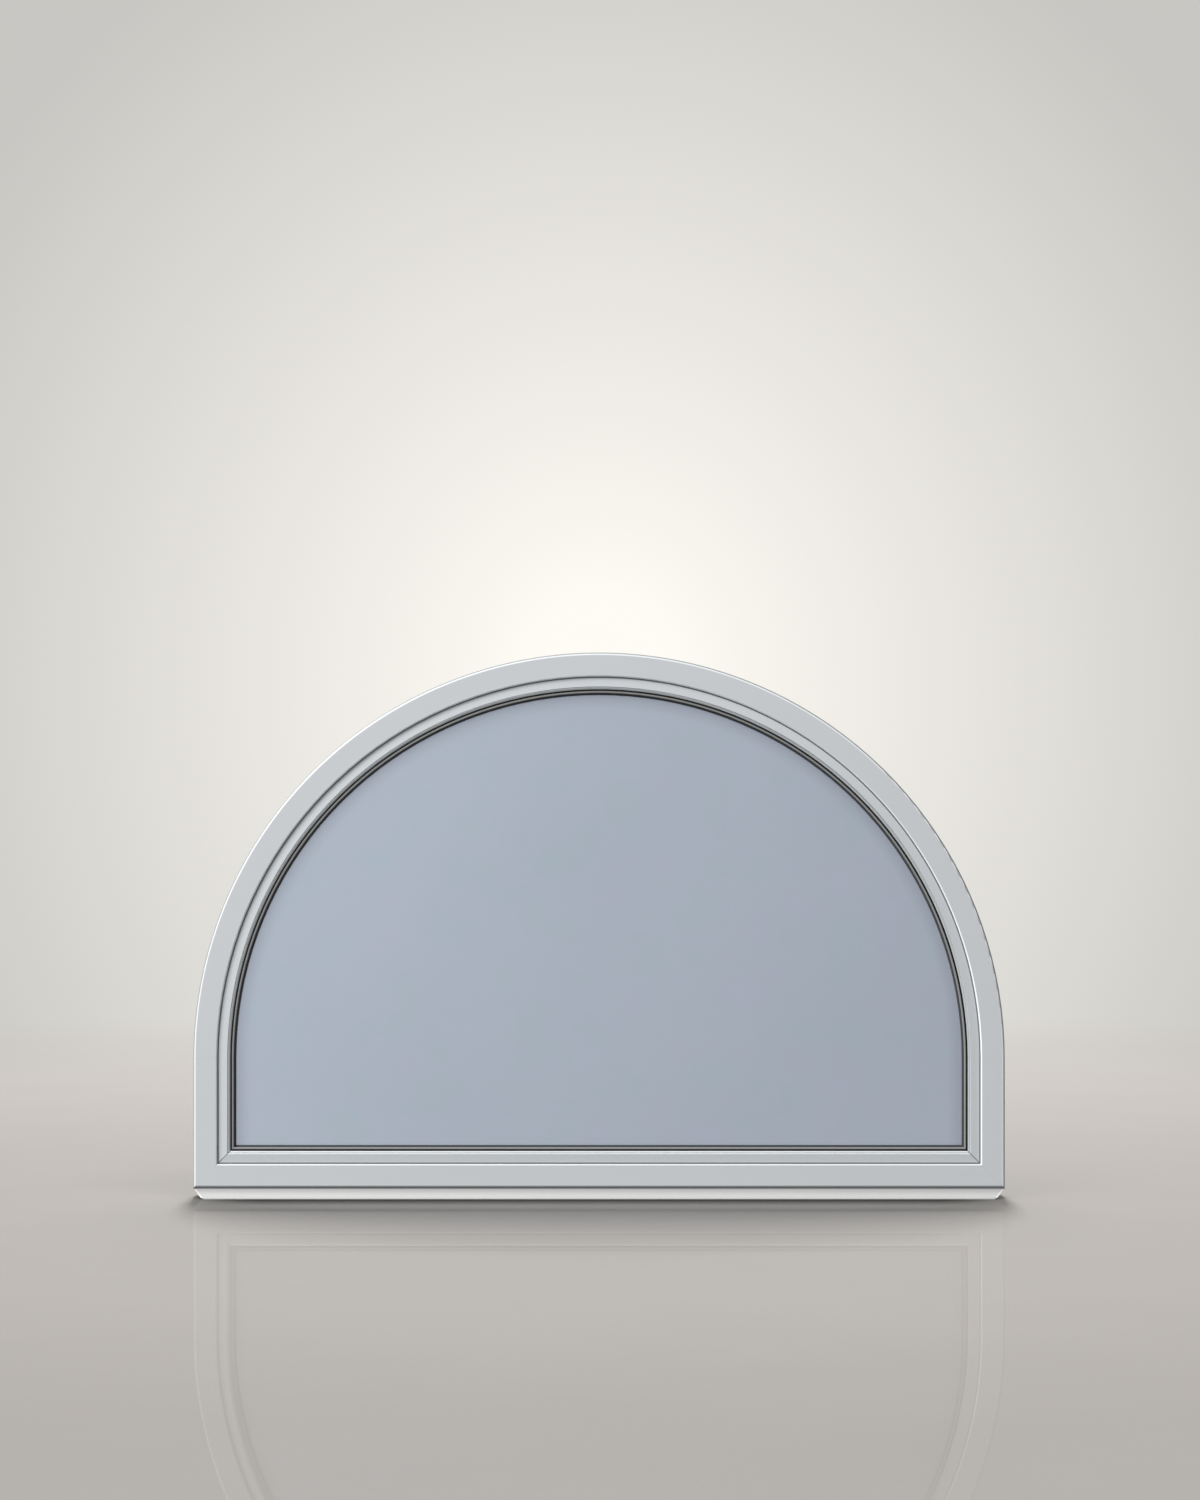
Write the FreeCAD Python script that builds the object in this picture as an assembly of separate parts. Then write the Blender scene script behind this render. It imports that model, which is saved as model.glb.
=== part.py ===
import FreeCAD, Part
import math
import os
from FreeCAD import Vector

# Fixed window with a half-round head: welded frame, clipped glazing bead, double glazing and a base sill.
# Millimetres. +X runs along the width, +Y from the front to the back, +Z up from the floor.
# A section is drawn as (u, v, radius): u inwards from the frame's outer edge, v back from its front face.

# Outline of the frame
WIDTH = 1500.0  # outside of one jamb to outside of the other
LEG_HEIGHT = 240.0  # straight jamb, from the frame's bottom edge to where the arch springs

# Frame section
FACE_WIDTH = 44.5  # front face, outer edge to rebate floor
REBATE_HEIGHT = 23.5  # rebate floor to sight line of upstand and bead
UPSTAND_DEPTH = 27.5  # thickness of the upstand behind the glass
OUTER_ROUND = 5.0
REAR_ROUND = 3.0
REBATE_CHAMFER = 2.2  # edge between front face and rebate
BEVEL_WIDTH = 9.0  # slope on the rear of the upstand
BEVEL_DEPTH = 11.0
CHANNEL_WIDTH = 30.0  # fixing channel round the outside
CHANNEL_DEPTH = 3.0

# Glazing bead section
BEAD_RECESS = 3.0  # crest of the bead behind the frame's face
BEAD_THICKNESS = 9.5  # crest to back
BEAD_FALL = 1.5  # the face falls from the crest to the frame
DROP_WIDTH = 1.2  # steep drop from the crest to the ledge
DROP_FALL = 3.5
QUIRK_WIDTH = 1.0  # narrow groove at the foot of the drop
QUIRK_DEPTH = 1.2
LEDGE_WIDTH = 2.8  # ledge next to the gasket
LEDGE_FALL = 1.2
TONGUE_HEIGHT = 3.0  # tongue that clips into the frame
TONGUE_THICKNESS = 3.0
TONGUE_INSET = 1.5  # tongue to the back of the bead

# Glazing
PANE_THICKNESS = 4.0
CAVITY_WIDTH = 16.0  # between the panes
EDGE_CLEARANCE = 5.0  # glass edge to rebate floor
EDGE_SEAL_HEIGHT = 4.5
SPACER_HEIGHT = 7.0
SPACER_CHAMFER = 2.0
BLOCK_LENGTH = 100.0

# Seals
FRONT_TAIL_THICKNESS = 2.0  # gasket squeezed between bead and glass
FRONT_TAIL_LENGTH = 10.0
OUTER_LIP_WIDTH = 2.4
OUTER_LIP_HEIGHT = 4.0  # lips and spline stand up from the front pane
INNER_LIP_WIDTH = 3.8
INNER_LIP_HEIGHT = 3.8
INNER_LIP_EDGE = 1.5
SPLINE_WIDTH = 4.4
SPLINE_HEIGHT = 6.8
SPLINE_SEAT = 2.5  # gasket left under the spline
SPLINE_CHAMFER = 1.1
REAR_TAIL_THICKNESS = 4.0  # gasket between rear pane and upstand
REAR_TAIL_LENGTH = 8.0
REAR_LIP_WIDTH = 4.0
REAR_LIP_HEIGHT = 6.0
REAR_LIP_TIP = 1.0

# Base sill
SILL_HEIGHT = 19.5
SILL_NOSE = 8.0  # nose in front of the frame's face
SILL_SETBACK = 1.0  # upright strip behind the frame's face
SILL_LIP = 3.0  # thickness of the nose
SILL_RISE = 8.0  # from where strip and slope would meet up to the top
SILL_LAND = 1.0  # flat part of the strip, above the cove
NOSE_ROUND = 1.2
END_RUN = 14.5  # slant of the ends, from the top down to the nose
TOE_RUN = 6.0  # flatter slant, over the thickness of the nose
CAP_THICKNESS = 4.0
RIB_END_GAP = 30.0  # rib under the frame's channel stops short of the corners

# Fixing holes, one through each jamb
FIXING_RADIUS = 4.0
FIXING_HEIGHT = 150.0  # above the frame's bottom edge

# Clearances
FIT = 0.25  # pushed-in pieces
SIDE_FIT = 0.15  # soft pieces next to each other

# Positions that follow from the sizes
SIGHT = FACE_WIDTH + REBATE_HEIGHT
BEAD_BACK = BEAD_RECESS + BEAD_THICKNESS
GLASS_FRONT = BEAD_BACK + FRONT_TAIL_THICKNESS
CAVITY_FRONT = GLASS_FRONT + PANE_THICKNESS
CAVITY_BACK = CAVITY_FRONT + CAVITY_WIDTH
GLASS_BACK = CAVITY_BACK + PANE_THICKNESS
REBATE_BACK = GLASS_BACK + REAR_TAIL_THICKNESS
FRAME_DEPTH = REBATE_BACK + UPSTAND_DEPTH
GLASS_EDGE = FACE_WIDTH + EDGE_CLEARANCE
SPACER_EDGE = GLASS_EDGE + EDGE_SEAL_HEIGHT
CHANNEL_FRONT = (FRAME_DEPTH - CHANNEL_WIDTH) / 2
CHANNEL_BACK = CHANNEL_FRONT + CHANNEL_WIDTH
HALF = WIDTH / 2
FRONT = (SILL_NOSE - FRAME_DEPTH) / 2  # y of the frame's face, with the origin midway from nose to back
BACK = FRONT + FRAME_DEPTH
FOOT = SILL_HEIGHT  # z of the frame's bottom edge
SPRING = FOOT + LEG_HEIGHT  # z of the centre of the arch
ALONG_X = Vector(1, 0, 0)
ALONG_Y = Vector(0, 1, 0)
ALONG_Z = Vector(0, 0, 1)


def corner_round(before, corner, after):
    """Start, middle and end of the round at one corner of an outline."""
    point = Vector(corner[0], corner[1], 0)
    if corner[2] == 0:
        return point, point, point
    back = (Vector(before[0], before[1], 0) - point).normalize()
    ahead = (Vector(after[0], after[1], 0) - point).normalize()
    half_angle = back.getAngle(ahead) / 2
    inwards = (back + ahead).normalize()
    reach = corner[2] / math.tan(half_angle)
    middle = point + inwards * (corner[2] / math.sin(half_angle) - corner[2])
    return point + back * reach, middle, point + ahead * reach


def section_face(corners, place):
    """Flat face inside an outline of (u, v, radius) corners; place(u, v) puts a point in space."""
    rounds = []
    for index, corner in enumerate(corners):
        rounds.append(corner_round(corners[index - 1], corner, corners[(index + 1) % len(corners)]))
    edges = []
    for index, (start, middle, end) in enumerate(rounds):
        last = rounds[index - 1][2]
        edges.append(Part.makeLine(place(last.x, last.y), place(start.x, start.y)))
        if corners[index][2] > 0:
            points = [place(point.x, point.y) for point in (start, middle, end)]
            edges.append(Part.Arc(*points).toShape())
    return Part.Face(Part.Wire(edges))


def at_jamb(u, v):
    """Section point on the right jamb, at the springing line."""
    return Vector(HALF - u, FRONT + v, SPRING)


def at_rail(u, v):
    """Section point on the bottom rail, at the left corner."""
    return Vector(-HALF, FRONT + v, FOOT + u)


def at_sill(y, z):
    """Point of the sill's section, at its left end."""
    return Vector(-HALF, y, z)


def elevation_prism(points):
    """Prism through the whole depth over (x, z) points of the front elevation."""
    reach = FRAME_DEPTH + SILL_NOSE
    corners = [Vector(x, -reach, z) for x, z in points]
    face = Part.Face(Part.makePolygon(corners + corners[:1]))
    return face.extrude(ALONG_Y * (2 * reach))


def arch(corners):
    """Half ring over the springing line."""
    return section_face(corners, at_jamb).revolve(Vector(0, 0, SPRING), -ALONG_Y, 180)


def right_leg(corners):
    """Straight length under the right end of the arch, mitred at the bottom."""
    length = section_face(corners, at_jamb).extrude(ALONG_Z * -LEG_HEIGHT)
    return length.cut(mitre())


def left_leg(corners):
    """Straight length under the left end of the arch."""
    return right_leg(corners).mirror(Vector(0, 0, 0), ALONG_X)


def bottom(corners):
    """Straight length along the bottom, mitred at both ends."""
    length = section_face(corners, at_rail).extrude(ALONG_X * WIDTH)
    return length.common(mitre())


def mitre():
    """Room inside the two mitre planes of the bottom corners."""
    return elevation_prism([(-HALF, FOOT), (HALF, FOOT), (0, FOOT + HALF)])


def arch_with_legs(corners):
    """One bent length round the arch and down both legs."""
    return arch(corners).fuse([right_leg(corners), left_leg(corners)]).removeSplitter()


def closed_ring(corners):
    """One length all the way round."""
    return arch_with_legs(corners).fuse(bottom(corners)).removeSplitter()


def pane(front):
    """Sheet of glass with its front at depth front."""
    reach = HALF - GLASS_EDGE
    y = FRONT + front
    low_left = Vector(-reach, y, FOOT + GLASS_EDGE)
    low_right = Vector(reach, y, FOOT + GLASS_EDGE)
    right = Vector(reach, y, SPRING)
    left = Vector(-reach, y, SPRING)
    edges = [
        Part.makeLine(low_left, low_right),
        Part.makeLine(low_right, right),
        Part.Arc(right, Vector(0, y, SPRING + reach), left).toShape(),
        Part.makeLine(left, low_left),
    ]
    return Part.Face(Part.Wire(edges)).extrude(ALONG_Y * PANE_THICKNESS)


def keep(name, shape):
    """Write one piece as a single solid."""
    solid = shape.Solids[0]
    if len(shape.Solids) != 1 or not solid.isValid():
        raise ValueError(f"{name} is not one sound solid")
    if solid.Volume < 0:
        solid.reverse()
    solid.exportStep(os.path.join("parts", f"{name}.step"))


os.makedirs("parts", exist_ok=True)

# Frame: L-shaped section with a rebate open to the front and a shallow fixing channel outside
tongue_back = BEAD_BACK - TONGUE_INSET
tongue_front = tongue_back - TONGUE_THICKNESS
groove_floor = FACE_WIDTH - TONGUE_HEIGHT - FIT
frame_section = [
    (0, 0, OUTER_ROUND),
    (FACE_WIDTH - REBATE_CHAMFER, 0, 0),
    (FACE_WIDTH, REBATE_CHAMFER, 0),
    (FACE_WIDTH, tongue_front - FIT, 0),
    (groove_floor, tongue_front - FIT, 0),
    (groove_floor, tongue_back + FIT, 0),
    (FACE_WIDTH, tongue_back + FIT, 0),
    (FACE_WIDTH, REBATE_BACK, 0),
    (SIGHT, REBATE_BACK, 0),
    (SIGHT, FRAME_DEPTH - BEVEL_DEPTH, 0),
    (SIGHT - BEVEL_WIDTH, FRAME_DEPTH, 0),
    (0, FRAME_DEPTH, REAR_ROUND),
    (0, CHANNEL_BACK, 0),
    (CHANNEL_DEPTH, CHANNEL_BACK, 0),
    (CHANNEL_DEPTH, CHANNEL_FRONT, 0),
    (0, CHANNEL_FRONT, 0),
]
fixing_point = Vector(-HALF, FRONT + FRAME_DEPTH / 2, FOOT + FIXING_HEIGHT)
fixing_hole = Part.makeCylinder(FIXING_RADIUS, WIDTH, fixing_point, ALONG_X)
keep("frame_arch_head", arch(frame_section))
keep("frame_left_jamb", left_leg(frame_section).cut(fixing_hole))
keep("frame_right_jamb", right_leg(frame_section).cut(fixing_hole))
keep("frame_bottom_rail", bottom(frame_section))

# Glazing bead: face, crest, steep drop, quirk and ledge in front, tongue into the frame's groove
ledge_start = SIGHT - LEDGE_WIDTH
quirk_start = ledge_start - QUIRK_WIDTH
crest = quirk_start - DROP_WIDTH
ledge = BEAD_RECESS + DROP_FALL
bead_edge = FACE_WIDTH + FIT
bead_section = [
    (bead_edge, BEAD_RECESS + BEAD_FALL, 0),
    (crest, BEAD_RECESS, 0),
    (quirk_start, ledge + QUIRK_DEPTH, 0),
    (ledge_start, ledge + QUIRK_DEPTH, 0),
    (ledge_start, ledge, 0),
    (SIGHT, ledge + LEDGE_FALL, 0),
    (SIGHT, BEAD_BACK, 0),
    (bead_edge, BEAD_BACK, 0),
    (bead_edge, tongue_back, 0),
    (FACE_WIDTH - TONGUE_HEIGHT, tongue_back, 0),
    (FACE_WIDTH - TONGUE_HEIGHT, tongue_front, 0),
    (bead_edge, tongue_front, 0),
]
keep("bead_arch", arch_with_legs(bead_section))
keep("bead_bottom", bottom(bead_section))

# Front gasket: tail under the bead, two lips with the spline between them
gasket_edge = SIGHT + SIDE_FIT
spline_edge = gasket_edge + OUTER_LIP_WIDTH
inner_lip = spline_edge + SPLINE_WIDTH
gasket_end = inner_lip + INNER_LIP_WIDTH
front_gasket_section = [
    (SIGHT - FRONT_TAIL_LENGTH, BEAD_BACK, 0),
    (gasket_edge, BEAD_BACK, 0),
    (gasket_edge, GLASS_FRONT - OUTER_LIP_HEIGHT, 0),
    (spline_edge, GLASS_FRONT - OUTER_LIP_HEIGHT, 0),
    (spline_edge, GLASS_FRONT - SPLINE_SEAT, 0),
    (inner_lip, GLASS_FRONT - SPLINE_SEAT, 0),
    (inner_lip, GLASS_FRONT - INNER_LIP_HEIGHT, 0),
    (gasket_end, GLASS_FRONT - INNER_LIP_EDGE, 0),
    (gasket_end, GLASS_FRONT, 0),
    (SIGHT - FRONT_TAIL_LENGTH, GLASS_FRONT, 0),
]
spline_start = spline_edge + SIDE_FIT
spline_end = inner_lip - SIDE_FIT
spline_top = GLASS_FRONT - SPLINE_HEIGHT
spline_section = [
    (spline_start, GLASS_FRONT - SPLINE_SEAT, 0),
    (spline_start, spline_top + SPLINE_CHAMFER, 0),
    (spline_start + SPLINE_CHAMFER, spline_top, 0),
    (spline_end - SPLINE_CHAMFER, spline_top, 0),
    (spline_end, spline_top + SPLINE_CHAMFER, 0),
    (spline_end, GLASS_FRONT - SPLINE_SEAT, 0),
]
keep("front_gasket_arch", arch_with_legs(front_gasket_section))
keep("front_gasket_bottom", bottom(front_gasket_section))
keep("glazing_spline_arch", arch_with_legs(spline_section))
keep("glazing_spline_bottom", bottom(spline_section))

# Rear gasket: tail against the upstand, lip beyond it
rear_gasket_section = [
    (SIGHT - REAR_TAIL_LENGTH, GLASS_BACK, 0),
    (gasket_edge + REAR_LIP_WIDTH, GLASS_BACK, 0),
    (gasket_edge + REAR_LIP_TIP, GLASS_BACK + REAR_LIP_HEIGHT, 0),
    (gasket_edge, GLASS_BACK + REAR_LIP_HEIGHT, 0),
    (gasket_edge, REBATE_BACK, 0),
    (SIGHT - REAR_TAIL_LENGTH, REBATE_BACK, 0),
]
keep("rear_gasket_arch", arch_with_legs(rear_gasket_section))
keep("rear_gasket_bottom", bottom(rear_gasket_section))

# Double glazing: two panes, spacer bar all round and the seal outside it
seal_section = [
    (GLASS_EDGE, CAVITY_FRONT, 0),
    (SPACER_EDGE, CAVITY_FRONT, 0),
    (SPACER_EDGE, CAVITY_BACK, 0),
    (GLASS_EDGE, CAVITY_BACK, 0),
]
spacer_section = [
    (SPACER_EDGE, CAVITY_FRONT + SPACER_CHAMFER, 0),
    (SPACER_EDGE + SPACER_CHAMFER, CAVITY_FRONT, 0),
    (SPACER_EDGE + SPACER_HEIGHT, CAVITY_FRONT, 0),
    (SPACER_EDGE + SPACER_HEIGHT, CAVITY_BACK, 0),
    (SPACER_EDGE + SPACER_CHAMFER, CAVITY_BACK, 0),
    (SPACER_EDGE, CAVITY_BACK - SPACER_CHAMFER, 0),
]
keep("glass_front_pane", pane(GLASS_FRONT))
keep("glass_rear_pane", pane(CAVITY_BACK))
keep("glass_edge_seal", closed_ring(seal_section))
keep("glass_spacer_bar", closed_ring(spacer_section))

# Setting blocks under the glass, at its quarter points
block_middle = (HALF - GLASS_EDGE) / 2
block_corner = Vector(block_middle - BLOCK_LENGTH / 2, FRONT + GLASS_FRONT, FOOT + FACE_WIDTH)
block = Part.makeBox(BLOCK_LENGTH, GLASS_BACK - GLASS_FRONT, EDGE_CLEARANCE, block_corner)
keep("setting_block_right", block)
keep("setting_block_left", block.mirror(Vector(0, 0, 0), ALONG_X))

# Base sill: upright strip, cove and slope down to a thin nose, ends slanted and closed by caps
strip = FRONT + SILL_SETBACK
knee = SILL_HEIGHT - SILL_RISE
slope_turn = math.atan2(SILL_NOSE + SILL_SETBACK, knee - SILL_LIP)
cove_radius = (SILL_RISE - SILL_LAND) / math.tan(slope_turn / 2)
sill_section = [
    (BACK, 0, 0),
    (FRONT - SILL_NOSE, 0, 0),
    (FRONT - SILL_NOSE, SILL_LIP, NOSE_ROUND),
    (strip, knee, cove_radius),
    (strip, SILL_HEIGHT, 0),
    (BACK, SILL_HEIGHT, 0),
]
sill_length = section_face(sill_section, at_sill).extrude(ALONG_X * WIDTH)
slant = HALF - END_RUN
toe = slant - TOE_RUN
outer_end = [(toe, 0), (slant, SILL_LIP), (HALF, SILL_HEIGHT)]
inner_end = [(x - CAP_THICKNESS, z) for x, z in outer_end]
left_end = [(-x, z) for x, z in reversed(inner_end)]
core = elevation_prism(inner_end + left_end)
right_end = elevation_prism(outer_end + inner_end[::-1])
rib_corner = Vector(RIB_END_GAP - HALF, FRONT + CHANNEL_FRONT + FIT, SILL_HEIGHT)
rib = Part.makeBox(WIDTH - 2 * RIB_END_GAP, CHANNEL_WIDTH - 2 * FIT, CHANNEL_DEPTH - FIT, rib_corner)
cap = sill_length.common(right_end)
keep("sill_profile", sill_length.common(core).fuse(rib).removeSplitter())
keep("sill_end_cap_right", cap)
keep("sill_end_cap_left", cap.mirror(Vector(0, 0, 0), ALONG_X))
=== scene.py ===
import math
from types import SimpleNamespace

import bpy
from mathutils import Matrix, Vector


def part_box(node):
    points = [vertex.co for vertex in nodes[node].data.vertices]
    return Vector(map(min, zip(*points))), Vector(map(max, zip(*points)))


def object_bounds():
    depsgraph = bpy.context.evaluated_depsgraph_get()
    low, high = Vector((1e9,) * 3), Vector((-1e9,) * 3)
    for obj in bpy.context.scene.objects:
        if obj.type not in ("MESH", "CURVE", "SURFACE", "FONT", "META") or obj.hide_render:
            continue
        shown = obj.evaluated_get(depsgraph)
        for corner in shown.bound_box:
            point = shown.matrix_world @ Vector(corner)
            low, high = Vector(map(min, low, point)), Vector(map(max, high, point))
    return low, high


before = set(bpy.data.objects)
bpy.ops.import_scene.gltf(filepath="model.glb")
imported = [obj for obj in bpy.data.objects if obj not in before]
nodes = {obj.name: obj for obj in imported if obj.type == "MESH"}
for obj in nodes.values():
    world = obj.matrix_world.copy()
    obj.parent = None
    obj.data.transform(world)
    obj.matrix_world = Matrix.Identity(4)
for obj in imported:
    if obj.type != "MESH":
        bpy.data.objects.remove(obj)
cad_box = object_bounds()

# Outline of the frame, in metres
ARCH_LOW, ARCH_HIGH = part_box("frame_arch_head")
HALF_WIDTH = ARCH_HIGH[0]
SPRING_HEIGHT = ARCH_LOW[2]
FACE_DEPTH = ARCH_LOW[1]
FRAME_DEPTH = ARCH_HIGH[1] - FACE_DEPTH
FOOT_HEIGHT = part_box("frame_bottom_rail")[0][2]

# Places on the section, in metres inwards from an outer edge
REBATE_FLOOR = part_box("setting_block_left")[0][2] - FOOT_HEIGHT
SIGHT_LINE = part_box("bead_bottom")[1][2] - FOOT_HEIGHT
SPLINE_EDGE = HALF_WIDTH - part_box("glazing_spline_arch")[1][0]
GASKET_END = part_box("front_gasket_bottom")[1][2] - FOOT_HEIGHT
FLANK_EDGE = 0.0024
CHANNEL_FLOOR = 0.006

# Widths of forms and of drawn tones on the section, in metres
OUTER_ROUND = 0.005
CHAMFER = 0.0022
LEDGE = 0.005
NOSE = 0.003
MITRE_LINE = 0.0011
SEAM = 0.0014
SHADE = 0.0027
SPLINE_SHADE = 0.001
RIM_SHADE = 0.030
SOFT_EDGE = 0.0002
BEVEL_RADIUS = 0.0007
ALL_DEPTH = (-FRAME_DEPTH, 2 * FRAME_DEPTH)

# Noise scales of the finishes, in one over metres
PLASTIC_LINES = 900.0
PLASTIC_GRAIN = 1400.0
PLASTIC_CLOUDS = 5.0
RUBBER_LINES = 1500.0
RUBBER_PORES = 2200.0
METAL_LINES = 2500.0
PANE_CLOUDS = 2.2
PANE_MOTTLE = 12.0
CLEAR_HAZE = 1.6
GLASS_POLISH = 9.0
FLOOR_MOTTLE = 3.0

# Tones of each finish, dark and pale
FACE_TONES = ((0.655, 0.685, 0.71), (0.685, 0.715, 0.74))
SILL_TONES = ((0.54, 0.54, 0.53), (0.57, 0.57, 0.56))
CAP_TONES = ((0.75, 0.75, 0.74), (0.78, 0.78, 0.77))
BLACK_TONES = ((0.042, 0.044, 0.048), (0.060, 0.063, 0.068))
GREY_TONES = ((0.26, 0.265, 0.26), (0.32, 0.325, 0.32))
BLOCK_TONES = ((0.05, 0.05, 0.055), (0.08, 0.08, 0.085))
METAL_TONES = ((0.48, 0.48, 0.48), (0.64, 0.64, 0.63))
PANE_TONES = ((0.468, 0.510, 0.610), (0.516, 0.552, 0.650))
PANE_COOL_TONES = ((0.442, 0.518, 0.594), (0.484, 0.562, 0.638))
# painted shade of the frame on the front pane, near arch and jambs
PANE_RIM_SHADE_TONES = ((0.396, 0.442, 0.525), (0.437, 0.481, 0.560))
CLEAR_TONES = ((0.50, 0.56, 0.66), (0.56, 0.62, 0.71))
FLOOR_TONES = ((0.408, 0.384, 0.359), (0.426, 0.401, 0.375))

# Tones of single lines and bands: painted highlights and painted shade, and the dark of the mitre joints
# painted highlight on the arrises of arch and jambs, dimmer on the bottom rail
ARRIS_HIGHLIGHT_TONE = (0.93, 0.95, 0.965)
RAIL_ARRIS_HIGHLIGHT_TONE = (0.76, 0.78, 0.79)
# painted shade on the arch bead's ledge, and a painted highlight on the bottom bead's
LEDGE_SHADE_TONE = (0.51, 0.535, 0.55)
LOW_LEDGE_HIGHLIGHT_TONE = (0.77, 0.80, 0.82)
# painted shadow along the bead's joint with the frame, and the dark of the mitre joints
JOINT_AND_SHADE_TONE = (0.20, 0.21, 0.22)
# painted shade on outer rounds and sides that turn away from the front
FLANK_SHADE_TONE = (0.37, 0.388, 0.40)
# painted shadow under the frame, along the sill's joint with it
SILL_JOINT_SHADE_TONE = (0.28, 0.285, 0.29)
# painted highlight along the sill's nose
NOSE_HIGHLIGHT_TONE = (0.74, 0.74, 0.73)
# painted shade in the crevice between bead and rubber
BLACK_CREVICE_SHADE_TONE = (0.010, 0.010, 0.011)
GREY_CREVICE_SHADE_TONE = (0.05, 0.05, 0.05)
CONTACT_TONE = (0.0, 0.0, 0.0)

# Roughness of each finish, least and most
FACE_ROUGHNESS = (0.29, 0.41)
SILL_ROUGHNESS = (0.31, 0.43)
BLACK_ROUGHNESS = (0.57, 0.73)
GREY_ROUGHNESS = (0.47, 0.63)
BLOCK_ROUGHNESS = (0.42, 0.58)
METAL_ROUGHNESS = (0.35, 0.5)
PANE_ROUGHNESS = (0.10, 0.18)
CLEAR_ROUGHNESS = (0.03, 0.07)

# Other values of the finishes
CLOUD_SHARE = 0.75
LINE_SHARE = 0.7
PORE_SHARE = 0.5
MOTTLE_RANGE = (0.3, 0.7)
BEVEL_SAMPLES = 4
PLASTIC_BUMP = {"Strength": 0.06, "Distance": 0.0004}
RUBBER_BUMP = {"Strength": 0.25, "Distance": 0.0002}
PLASTIC_IOR = 1.46
RUBBER_SPECULAR = 0.25
PANE_ALPHA = 0.92
CLEAR_ALPHA = 0.3
CLEAR_IOR = 1.9

# Inputs and output of a Mix node, by the kind of data it blends
MIX_SOCKETS = {"VECTOR": ("i4", "i5", 1), "RGBA": ("i6", "i7", 2)}

# Camera: level, square to the front, on a long lens; the image is in the photograph's pixels
FRAME_WIDTH_PX = 812.0
FRAME_CENTRE_PX = 599.0
FLOOR_LINE_PX = 1199.3
IMAGE_PX = (1200.0, 1500.0)
LENS_MM = 100.0
SENSOR_MM = 36.0


def shade_tree(name):
    """New material with its node tree and its Principled shader."""
    material = bpy.data.materials.new(name)
    material.use_nodes = True
    return material, material.node_tree, material.node_tree.nodes["Principled BSDF"]


def add(tree, kind, settings=None, **inputs):
    """New node; settings are its properties, and inputs are values or the sockets that feed it.

    An input goes by its socket's name, with _ for each space, or by its place, such as i0.
    """
    made = tree.nodes.new(kind)
    for key, value in (settings or {}).items():
        setattr(made, key, value)
    for key, value in inputs.items():
        by_place = key[0] == "i" and key[1:].isdigit()
        socket = made.inputs[int(key[1:]) if by_place else key.replace("_", " ")]
        if isinstance(value, bpy.types.NodeSocket):
            tree.links.new(value, socket)
        else:
            socket.default_value = value
    return made


def math_node(tree, operation, first, second=0.0):
    """Output of a Math node."""
    return add(tree, "ShaderNodeMath", {"operation": operation}, i0=first, i1=second).outputs[0]


def vector_node(tree, operation, **inputs):
    """Vector Math node."""
    return add(tree, "ShaderNodeVectorMath", {"operation": operation}, **inputs)


def weighted(tree, first, second, share):
    """Sum of first, by its share, and second, by the rest."""
    most = math_node(tree, "MULTIPLY", first, share)
    rest = math_node(tree, "MULTIPLY", second, 1.0 - share)
    return math_node(tree, "ADD", most, rest)


def spread(tree, value, start, end, low=0.0, high=1.0, kind="LINEAR"):
    """Value from start to end spread over low to high, and held there beyond."""
    limits = {"From_Min": start, "From_Max": end, "To_Min": low, "To_Max": high}
    return add(tree, "ShaderNodeMapRange", {"interpolation_type": kind}, Value=value, **limits).outputs[0]


def mix_node(tree, kind, factor, first, second):
    """Output of a Mix node between first and second."""
    first_key, second_key, out = MIX_SOCKETS[kind]
    inputs = {"i0": factor, first_key: first, second_key: second}
    return add(tree, "ShaderNodeMix", {"data_type": kind}, **inputs).outputs[out]


def blend_colours(tree, factor, first, second):
    """Colour between first and second, each a tone or a socket."""
    pair = [end if isinstance(end, bpy.types.NodeSocket) else (*end, 1.0) for end in (first, second)]
    return mix_node(tree, "RGBA", factor, *pair)


def noise(tree, point, scale, detail=2.0, roughness=0.5):
    """Value of a noise texture."""
    settings = {"Scale": scale, "Detail": detail, "Roughness": roughness}
    return add(tree, "ShaderNodeTexNoise", None, Vector=point, **settings).outputs[0]


def section_point(tree):
    """Where a point lies, as sockets.

    place is its place in space, and outwards its way out from the middle of the arch. from_side is
    its distance in from the arch and jambs, inwards from any outer edge, and back from the face.
    mitre is its distance from a mitre. section stays the same all along a length of profile, round
    the arch too, so a pattern on it runs as an extrusion's marks do.
    """
    place = add(tree, "ShaderNodeTexCoord").outputs["Object"]
    x, y, z = add(tree, "ShaderNodeSeparateXYZ", None, Vector=place).outputs
    rise = math_node(tree, "MAXIMUM", math_node(tree, "SUBTRACT", z, SPRING_HEIGHT))
    outwards = add(tree, "ShaderNodeCombineXYZ", None, X=x, Z=rise).outputs[0]
    radius = vector_node(tree, "LENGTH", i0=outwards).outputs["Value"]
    from_side = math_node(tree, "SUBTRACT", HALF_WIDTH, radius)
    from_foot = math_node(tree, "SUBTRACT", z, FOOT_HEIGHT)
    inwards = math_node(tree, "MINIMUM", from_side, from_foot)
    return SimpleNamespace(
        place=place,
        outwards=outwards,
        from_side=from_side,
        inwards=inwards,
        back=math_node(tree, "SUBTRACT", y, FACE_DEPTH),
        mitre=math_node(tree, "ABSOLUTE", math_node(tree, "SUBTRACT", from_side, from_foot)),
        section=add(tree, "ShaderNodeCombineXYZ", None, X=inwards, Y=y).outputs[0],
    )


def between(tree, value, low, high):
    """1 where value lies between low and high, 0 elsewhere, with soft edges."""
    off = math_node(tree, "ABSOLUTE", math_node(tree, "SUBTRACT", value, (low + high) / 2))
    half = (high - low) / 2
    return spread(tree, off, half + SOFT_EDGE, half - SOFT_EDGE)


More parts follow.
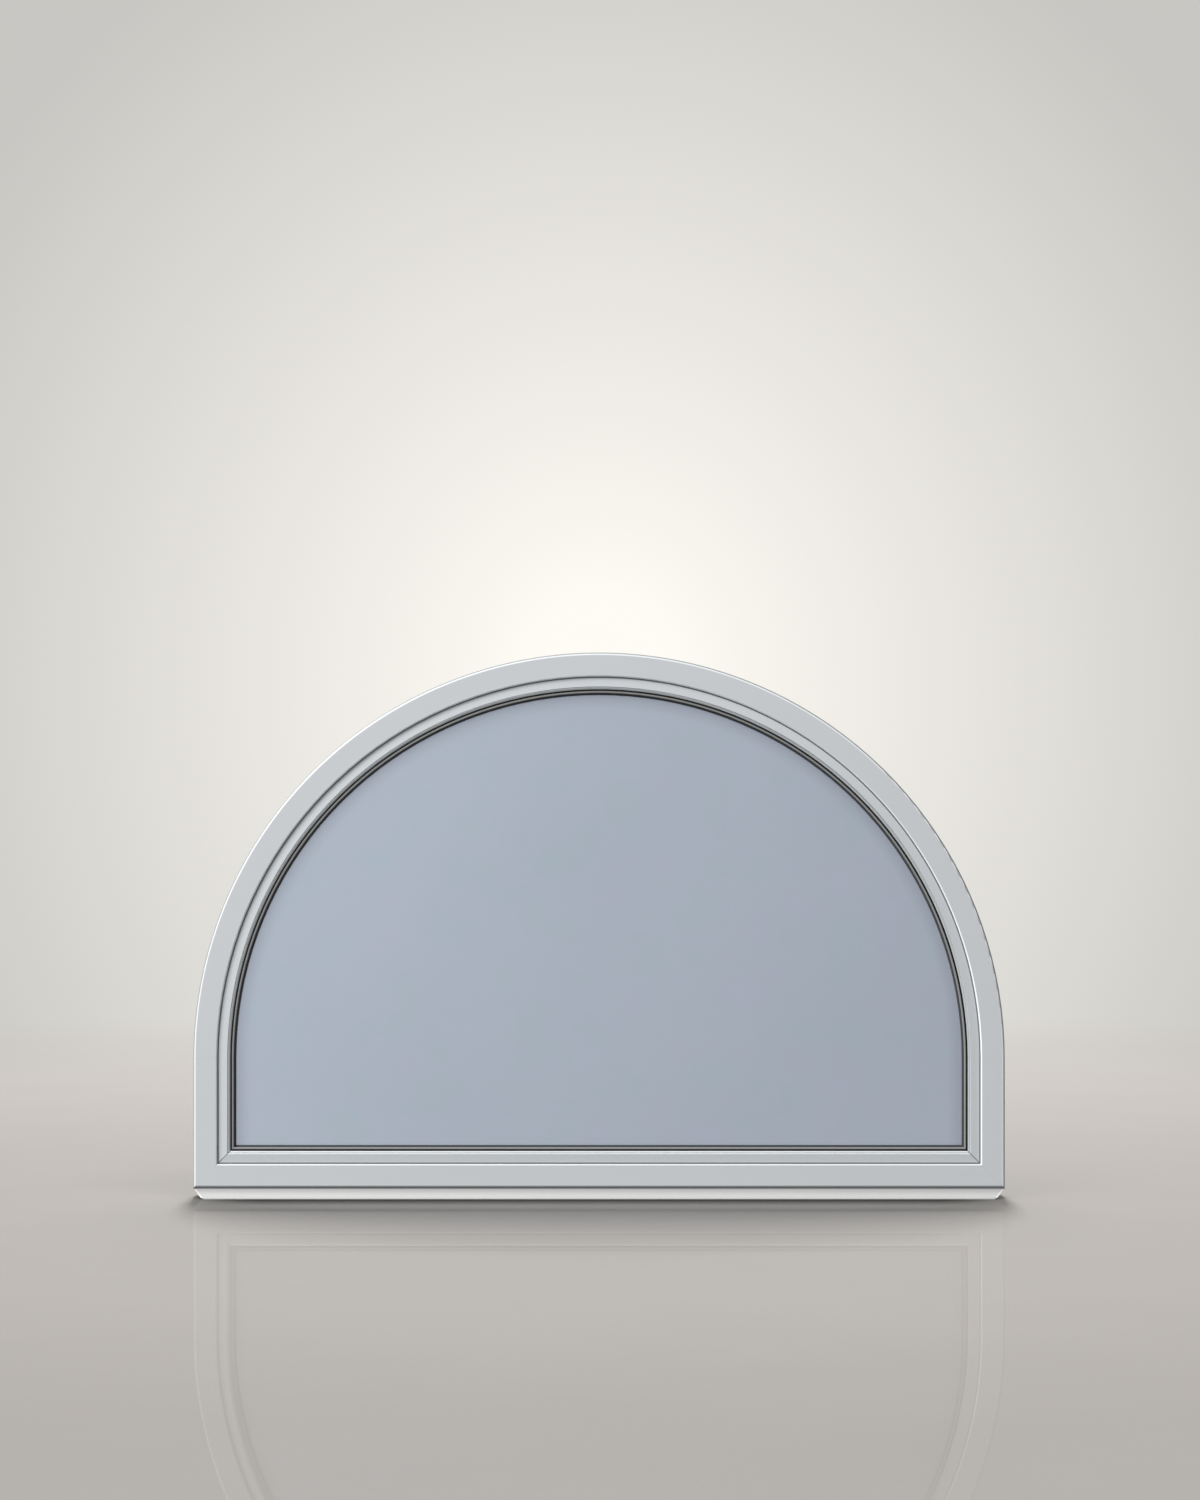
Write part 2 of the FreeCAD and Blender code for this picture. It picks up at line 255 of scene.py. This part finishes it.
def quarter_round(tree, at, radius, plain):
    """Normal of the outer edge, turned evenly round a radius on the front; plain elsewhere."""
    lean = spread(tree, at.from_side, radius, 0.0)
    lean_squared = math_node(tree, "MULTIPLY", lean, lean)
    facing = math_node(tree, "SQRT", math_node(tree, "SUBTRACT", 1.0, lean_squared))
    side = vector_node(tree, "NORMALIZE", i0=at.outwards).outputs[0]
    sideways = vector_node(tree, "SCALE", i0=side, Scale=lean).outputs[0]
    to_front = math_node(tree, "MULTIPLY", facing, -1.0)
    forwards = add(tree, "ShaderNodeCombineXYZ", None, Y=to_front).outputs[0]
    turned = vector_node(tree, "ADD", i0=sideways, i1=forwards).outputs[0]
    near_side = math_node(tree, "LESS_THAN", at.from_side, radius)
    near_face = math_node(tree, "LESS_THAN", at.back, radius)
    return mix_node(tree, "VECTOR", math_node(tree, "MULTIPLY", near_side, near_face), plain, turned)


def white_plastic(name, tones, roughness, bands=(), mitre_tone=None, edge_radius=None):
    """Satin extruded plastic: faint lines along the profile, fine grain and a little clouding.

    A band is a tone, here a painted highlight or painted shade, with the stretches of the section that
    have it: inwards, and back from the face.
    A mitre tone draws the thin line where two lengths meet at a corner. An edge radius shades the
    frame's outer edge as a true round.
    """
    material, tree, shader = shade_tree(name)
    at = section_point(tree)
    lines = noise(tree, at.section, PLASTIC_LINES, detail=3.0, roughness=0.6)
    grain = noise(tree, at.place, PLASTIC_GRAIN)
    clouds = noise(tree, at.place, PLASTIC_CLOUDS, detail=3.0)
    colour = blend_colours(tree, weighted(tree, clouds, lines, CLOUD_SHARE), *tones)
    for band_tone, across, deep in bands:
        is_across = between(tree, at.inwards, *across)
        is_deep = between(tree, at.back, *deep)
        colour = blend_colours(tree, math_node(tree, "MULTIPLY", is_across, is_deep), colour, band_tone)
    if mitre_tone:
        on_mitre = math_node(tree, "LESS_THAN", at.mitre, MITRE_LINE)
        colour = blend_colours(tree, on_mitre, colour, mitre_tone)
    tree.links.new(colour, shader.inputs["Base Color"])
    tree.links.new(spread(tree, lines, 0.0, 1.0, *roughness), shader.inputs["Roughness"])
    rounded = add(tree, "ShaderNodeBevel", {"samples": BEVEL_SAMPLES}, Radius=BEVEL_RADIUS).outputs[0]
    if edge_radius:
        rounded = quarter_round(tree, at, edge_radius, rounded)
    marks = weighted(tree, lines, grain, LINE_SHARE)
    bump = add(tree, "ShaderNodeBump", None, Height=marks, Normal=rounded, **PLASTIC_BUMP)
    tree.links.new(bump.outputs[0], shader.inputs["Normal"])
    shader.inputs["IOR"].default_value = PLASTIC_IOR
    return material


def soft_rubber(name, tones, roughness, crevice_shade_tone=None, crevice_shade_end=0.0):
    """Extruded rubber: matt, with fine pores and faint lines along its length.

    The shade tone is painted shade in the crevice: it darkens the side next to the bead, as far in as the
    place given.
    """
    material, tree, shader = shade_tree(name)
    at = section_point(tree)
    lines = noise(tree, at.section, RUBBER_LINES)
    pores = noise(tree, at.place, RUBBER_PORES, roughness=0.65)
    colour = blend_colours(tree, weighted(tree, lines, pores, PORE_SHARE), *tones)
    if crevice_shade_tone:
        # painted shade on the side next to the bead, in the crevice there
        in_crevice_shade = math_node(tree, "LESS_THAN", at.inwards, crevice_shade_end)
        colour = blend_colours(tree, in_crevice_shade, colour, crevice_shade_tone)
    tree.links.new(colour, shader.inputs["Base Color"])
    tree.links.new(spread(tree, pores, 0.0, 1.0, *roughness), shader.inputs["Roughness"])
    bump = add(tree, "ShaderNodeBump", None, Height=pores, **RUBBER_BUMP)
    tree.links.new(bump.outputs[0], shader.inputs["Normal"])
    shader.inputs["Specular IOR Level"].default_value = RUBBER_SPECULAR
    return material


def satin_glass():
    """Front pane: blue-grey obscure glass, glossy, softly clouded, with painted shade that deepens its
    tone near arch and jambs.
    """
    material, tree, shader = shade_tree("satin_glass")
    at = section_point(tree)
    clouds = noise(tree, at.place, PANE_CLOUDS)
    mottle = spread(tree, noise(tree, at.place, PANE_MOTTLE, detail=3.0, roughness=0.6), *MOTTLE_RANGE)
    body, cool, deep = (
        blend_colours(tree, clouds, *tones) for tones in (PANE_TONES, PANE_COOL_TONES, PANE_RIM_SHADE_TONES))
    # painted shade of the frame on the pane, fading in from arch and jambs
    painted_rim_shade = spread(tree, at.from_side, GASKET_END + RIM_SHADE, GASKET_END, kind="SMOOTHSTEP")
    colour = blend_colours(tree, painted_rim_shade, blend_colours(tree, mottle, body, cool), deep)
    polish = noise(tree, at.place, GLASS_POLISH, detail=3.0)
    tree.links.new(colour, shader.inputs["Base Color"])
    tree.links.new(spread(tree, polish, 0.0, 1.0, *PANE_ROUGHNESS), shader.inputs["Roughness"])
    shader.inputs["Alpha"].default_value = PANE_ALPHA
    return material


def clear_glass():
    """Rear pane: faintly tinted float glass, smooth, that shows the obscure pane behind it."""
    material, tree, shader = shade_tree("clear_glass")
    place = add(tree, "ShaderNodeTexCoord").outputs["Object"]
    colour = blend_colours(tree, noise(tree, place, CLEAR_HAZE), *CLEAR_TONES)
    polish = noise(tree, place, GLASS_POLISH, detail=3.0)
    tree.links.new(colour, shader.inputs["Base Color"])
    tree.links.new(spread(tree, polish, 0.0, 1.0, *CLEAR_ROUGHNESS), shader.inputs["Roughness"])
    shader.inputs["Alpha"].default_value = CLEAR_ALPHA
    shader.inputs["IOR"].default_value = CLEAR_IOR
    return material


def mill_aluminium():
    """Spacer bar: dull rolled metal with lines along the bar."""
    material, tree, shader = shade_tree("spacer_aluminium")
    lines = noise(tree, section_point(tree).section, METAL_LINES)
    tree.links.new(blend_colours(tree, lines, *METAL_TONES), shader.inputs["Base Color"])
    tree.links.new(spread(tree, lines, 0.0, 1.0, *METAL_ROUGHNESS), shader.inputs["Roughness"])
    shader.inputs["Metallic"].default_value = 1.0
    return material


def dress(material, *names):
    """Give CAD nodes a finish."""
    for name in names:
        nodes[name].data.materials.clear()
        nodes[name].data.materials.append(material)


# Painted light on the section: painted highlights on arrises, ledges and the sill's nose; painted shade
# on outer rounds, sides, ledges, and along joints where shade falls
rebate_edge = ((REBATE_FLOOR - CHAMFER, REBATE_FLOOR + SEAM), (-CHAMFER, CHAMFER))
frame_bands = [
    # painted highlight on the rebate arris and on the outer round
    (ARRIS_HIGHLIGHT_TONE, *rebate_edge),
    (ARRIS_HIGHLIGHT_TONE, (FLANK_EDGE, OUTER_ROUND), (-CHAMFER, OUTER_ROUND)),
    # painted shade on the outer round's side and on the outer sides
    (FLANK_SHADE_TONE, (-OUTER_ROUND, FLANK_EDGE), ALL_DEPTH),
    (FLANK_SHADE_TONE, (-OUTER_ROUND, CHANNEL_FLOOR), (OUTER_ROUND, FRAME_DEPTH - OUTER_ROUND)),
]
rail_bands = [
    # dimmer painted highlight on the rail's rebate arris
    (RAIL_ARRIS_HIGHLIGHT_TONE, *rebate_edge),
    # painted shade on the rail's lower round, which faces down
    (FLANK_SHADE_TONE, (-OUTER_ROUND, OUTER_ROUND), ALL_DEPTH),
]
# painted shadow of the frame's step on the bead, in a band along their joint
bead_joint_shade = (JOINT_AND_SHADE_TONE, (REBATE_FLOOR - SHADE, REBATE_FLOOR + SHADE), ALL_DEPTH)
# the bead's ledge: painted shade on the arch, a painted highlight on the bottom bead, whose ledge faces
# up
bead_ledge = ((SIGHT_LINE - LEDGE, SIGHT_LINE + SEAM), ALL_DEPTH)
arch_bead_bands = [bead_joint_shade, (LEDGE_SHADE_TONE, *bead_ledge)]
low_bead_bands = [bead_joint_shade, (LOW_LEDGE_HIGHLIGHT_TONE, *bead_ledge)]
# painted shadow under the frame's overhang, along the sill's joint with the frame
sill_joint_shade = (SILL_JOINT_SHADE_TONE, (-SEAM, SEAM), ALL_DEPTH)
# painted highlight along the sill's nose
sill_nose_highlight = (NOSE_HIGHLIGHT_TONE, (-2 * FOOT_HEIGHT, NOSE - FOOT_HEIGHT), ALL_DEPTH)

# Finishes of the pieces
frame_white = white_plastic(
    "frame_white", FACE_TONES, FACE_ROUGHNESS, frame_bands, edge_radius=OUTER_ROUND)
# the rail's finish is the frame's, with a dimmer painted highlight and painted shade on its lower round
rail_white = white_plastic("rail_white", FACE_TONES, FACE_ROUGHNESS, rail_bands)
bead_white = white_plastic("bead_white", FACE_TONES, FACE_ROUGHNESS, arch_bead_bands, JOINT_AND_SHADE_TONE)
# the bottom bead's finish is a lit copy of the arch bead's, with a painted highlight on its ledge
low_bead_lit_white = white_plastic("low_bead_lit_white", FACE_TONES, FACE_ROUGHNESS, low_bead_bands, JOINT_AND_SHADE_TONE)
sill_white = white_plastic("sill_white", SILL_TONES, SILL_ROUGHNESS, [sill_joint_shade, sill_nose_highlight])
cap_white = white_plastic("cap_white", CAP_TONES, SILL_ROUGHNESS, [sill_joint_shade])
# the rubbers carry painted shade on their side next to the bead
black_rubber = soft_rubber("black_rubber", BLACK_TONES, BLACK_ROUGHNESS, BLACK_CREVICE_SHADE_TONE, SPLINE_EDGE)
grey_rubber = soft_rubber(
    "grey_rubber", GREY_TONES, GREY_ROUGHNESS, GREY_CREVICE_SHADE_TONE, SPLINE_EDGE + SPLINE_SHADE)
block_plastic = soft_rubber("block_plastic", BLOCK_TONES, BLOCK_ROUGHNESS)
dress(frame_white, "frame_arch_head", "frame_left_jamb", "frame_right_jamb")
dress(rail_white, "frame_bottom_rail")
dress(bead_white, "bead_arch")
dress(low_bead_lit_white, "bead_bottom")
dress(sill_white, "sill_profile")
dress(cap_white, "sill_end_cap_left", "sill_end_cap_right")
dress(black_rubber, "front_gasket_arch", "front_gasket_bottom")
dress(black_rubber, "rear_gasket_arch", "rear_gasket_bottom", "glass_edge_seal")
dress(grey_rubber, "glazing_spline_arch", "glazing_spline_bottom")
dress(block_plastic, "setting_block_left", "setting_block_right")
dress(mill_aluminium(), "glass_spacer_bar")
dress(satin_glass(), "glass_front_pane")
dress(clear_glass(), "glass_rear_pane")

# Camera, placed so that the frame's width, middle and foot fall on their pixels
lens_px = LENS_MM / SENSOR_MM * IMAGE_PX[1]
distance = lens_px * 2 * HALF_WIDTH / FRAME_WIDTH_PX
eye_y = FACE_DEPTH - distance
nose_distance = cad_box[0][1] - eye_y
eye_z = (FLOOR_LINE_PX - IMAGE_PX[1] / 2) * nose_distance / lens_px
eye_x = (IMAGE_PX[0] / 2 - FRAME_CENTRE_PX) * distance / lens_px
camera_data = bpy.data.cameras.new("camera")
camera_data.lens = LENS_MM
camera_data.sensor_width = SENSOR_MM
camera = bpy.data.objects.new("camera", camera_data)
camera.location = (eye_x, eye_y, eye_z)
camera.rotation_euler = (math.pi / 2, 0.0, 0.0)
bpy.context.scene.collection.objects.link(camera)
bpy.context.scene.camera = camera


def area_light(name, place, target, size, watts, mirrored=False):
    """Soft rectangular light at place, facing target; size is its width and its height."""
    data = bpy.data.lights.new(name, "AREA")
    data.shape = "RECTANGLE"
    data.size, data.size_y = size
    data.energy = watts
    light = bpy.data.objects.new(name, data)
    light.location = place
    light.visible_camera = False
    light.visible_glossy = mirrored
    light.rotation_euler = (Vector(target) - Vector(place)).to_track_quat("-Z", "Y").to_euler()
    bpy.context.scene.collection.objects.link(light)
    return light


# Lights: the key and a fill from behind for the part, two for the front pane, and three for the floor
PART_MIDDLE = (0.0, 0.0, 0.5)
key = area_light(
    "key", place=(-9.2, -5.2, 9.7), target=PART_MIDDLE, size=(6.0, 6.0), watts=2650.0, mirrored=True)
back_fill = area_light(
    "back_fill", place=(3.0, 6.5, 4.5), target=PART_MIDDLE, size=(4.0, 4.0), watts=400.0)
pane_light = area_light(
    "pane_light", place=(-5.0, -2.4, 2.0), target=PART_MIDDLE, size=(4.0, 4.0), watts=260.0)
pane_shade = area_light(
    "pane_shade", place=(-2.6, -3.6, 6.6), target=PART_MIDDLE, size=(8.0, 8.0), watts=345.0)
floor_light = area_light(
    "floor_light", place=(0.0, 18.0, 35.0), target=(0.0, 0.0, 0.0), size=(4.0, 20.0), watts=13500.0)
floor_glow = area_light(
    "floor_glow", place=(0.0, 3.0, 3.0), target=(0.0, 3.0, 0.0), size=(3.0, 2.0), watts=57.0)
floor_fill = area_light(
    "floor_fill", place=(0.0, -0.9, 2.2), target=(0.0, -0.9, 0.0), size=(1.0, 0.8), watts=10.5)

# Surroundings: pale, with a soft glow behind the arch; what lights the part is evener and dimmer
GLOW_PX = (600.0, 680.0)
GLOW_START_PX = 70.0
GLOW_END_PX = 762.0
GLOW_SQUEEZE = 0.89
GLOW_TONE = (1.0, 0.97, 0.915)
GLOW_CURVE = 0.87
EDGE_TONE = (0.58, 0.569, 0.544)
LIT_COLOUR = (1.0, 1.0, 1.0, 1.0)
LIT_STRENGTH = 0.345
MIRROR_STRENGTH = 0.42
world = bpy.data.worlds.new("studio")
bpy.context.scene.world = world
world.use_nodes = True
sky = world.node_tree
sky.nodes.clear()
squeeze = Vector((1.0, 1.0, GLOW_SQUEEZE))
glow_way = Vector((GLOW_PX[0] - IMAGE_PX[0] / 2, lens_px, IMAGE_PX[1] / 2 - GLOW_PX[1]))
glow_centre = (glow_way * squeeze).normalized()
ray = add(sky, "ShaderNodeTexCoord").outputs["Generated"]
squeezed = vector_node(sky, "MULTIPLY", i0=ray, i1=tuple(squeeze)).outputs[0]
level = vector_node(sky, "NORMALIZE", i0=squeezed).outputs[0]
facing = vector_node(sky, "DOT_PRODUCT", i0=level, i1=tuple(glow_centre)).outputs["Value"]
glow_start = math.atan(GLOW_START_PX / lens_px)
glow_end = math.atan(GLOW_END_PX / lens_px)
reach = spread(sky, math_node(sky, "ARCCOSINE", facing), glow_start, glow_end)
sky_tone = blend_colours(sky, math_node(sky, "POWER", reach, GLOW_CURVE), GLOW_TONE, EDGE_TONE)
path = add(sky, "ShaderNodeLightPath").outputs
strength = spread(sky, path["Is Glossy Ray"], 0.0, 1.0, LIT_STRENGTH, MIRROR_STRENGTH)
lit = add(sky, "ShaderNodeBackground", None, Color=LIT_COLOUR, Strength=strength).outputs[0]
seen = add(sky, "ShaderNodeBackground", None, Color=sky_tone, Strength=1.0).outputs[0]
either = add(sky, "ShaderNodeMixShader", None, i0=path["Is Camera Ray"], i1=lit, i2=seen)
add(sky, "ShaderNodeOutputWorld", None, Surface=either.outputs[0])

# Floor: pale disc with a faint mirror image and a contact shade, which fades into the surroundings
FLOOR_RADIUS = 5.5
FLOOR_SIDES = 96
FADE_RADIUS = 2.5
CONTACT_REACH = 0.12
CONTACT_SAMPLES = 16
CONTACT_POWER = 4.0
MIRROR_SHARE = 0.11
ring = []
for side in range(FLOOR_SIDES):
    turn = math.tau * side / FLOOR_SIDES
    ring.append((FLOOR_RADIUS * math.cos(turn), FLOOR_RADIUS * math.sin(turn), 0.0))
disc = bpy.data.meshes.new("floor")
disc.from_pydata(ring, [], [tuple(range(FLOOR_SIDES))])
floor = bpy.data.objects.new("floor", disc)
bpy.context.scene.collection.objects.link(floor)
floor.visible_diffuse = False
paint = bpy.data.materials.new("floor")
paint.use_nodes = True
ground = paint.node_tree
ground.nodes.clear()
spot = add(ground, "ShaderNodeTexCoord").outputs["Object"]
floor_colour = blend_colours(ground, noise(ground, spot, FLOOR_MOTTLE, detail=3.0), *FLOOR_TONES)
occlusion = add(
    ground, "ShaderNodeAmbientOcclusion", {"samples": CONTACT_SAMPLES}, Distance=CONTACT_REACH)
sideways = add(ground, "ShaderNodeSeparateXYZ", None, Vector=spot).outputs[0]
off_middle = math_node(ground, "ABSOLUTE", sideways)
power = spread(ground, off_middle, HALF_WIDTH - CONTACT_REACH, HALF_WIDTH, CONTACT_POWER, 0.0)
contact = math_node(ground, "POWER", occlusion.outputs["AO"], power)
matt_colour = blend_colours(ground, contact, CONTACT_TONE, floor_colour)
matt = add(ground, "ShaderNodeBsdfDiffuse", None, Color=matt_colour).outputs[0]
mirror = add(ground, "ShaderNodeBsdfGlossy", None, Color=contact, Roughness=0.0).outputs[0]
surface = add(ground, "ShaderNodeMixShader", None, i0=MIRROR_SHARE, i1=matt, i2=mirror).outputs[0]
away = vector_node(ground, "LENGTH", i0=spot).outputs["Value"]
fade = spread(ground, away, FADE_RADIUS, FLOOR_RADIUS, kind="SMOOTHSTEP")
open_air = add(ground, "ShaderNodeBsdfTransparent").outputs[0]
faded = add(ground, "ShaderNodeMixShader", None, i0=fade, i1=surface, i2=open_air)
add(ground, "ShaderNodeOutputMaterial", None, Surface=faded.outputs[0])
disc.materials.append(paint)


def light_group(name, state, *pieces):
    """Collection for light linking: only these pieces (INCLUDE), or all but these (EXCLUDE)."""
    group = bpy.data.collections.new(name)
    for piece in pieces:
        group.objects.link(piece)
    for member in group.collection_objects:
        member.light_linking.link_state = state
    return group


# What each light reaches, and what casts its shadows
front_pane = nodes["glass_front_pane"]
pane_only = light_group("pane_only", "INCLUDE", front_pane)
floor_only = light_group("floor_only", "INCLUDE", floor)
key.light_linking.receiver_collection = light_group("not_floor_or_pane", "EXCLUDE", floor, front_pane)
key.light_linking.blocker_collection = light_group("not_bead", "EXCLUDE", nodes["bead_arch"])
back_fill.light_linking.receiver_collection = light_group("not_floor", "EXCLUDE", floor)
for light in (pane_light, pane_shade):
    light.light_linking.receiver_collection = pane_only
pane_light.light_linking.blocker_collection = floor_only
for light in (floor_light, floor_glow, floor_fill):
    light.light_linking.receiver_collection = floor_only

bpy.context.scene.view_settings.view_transform = "Standard"
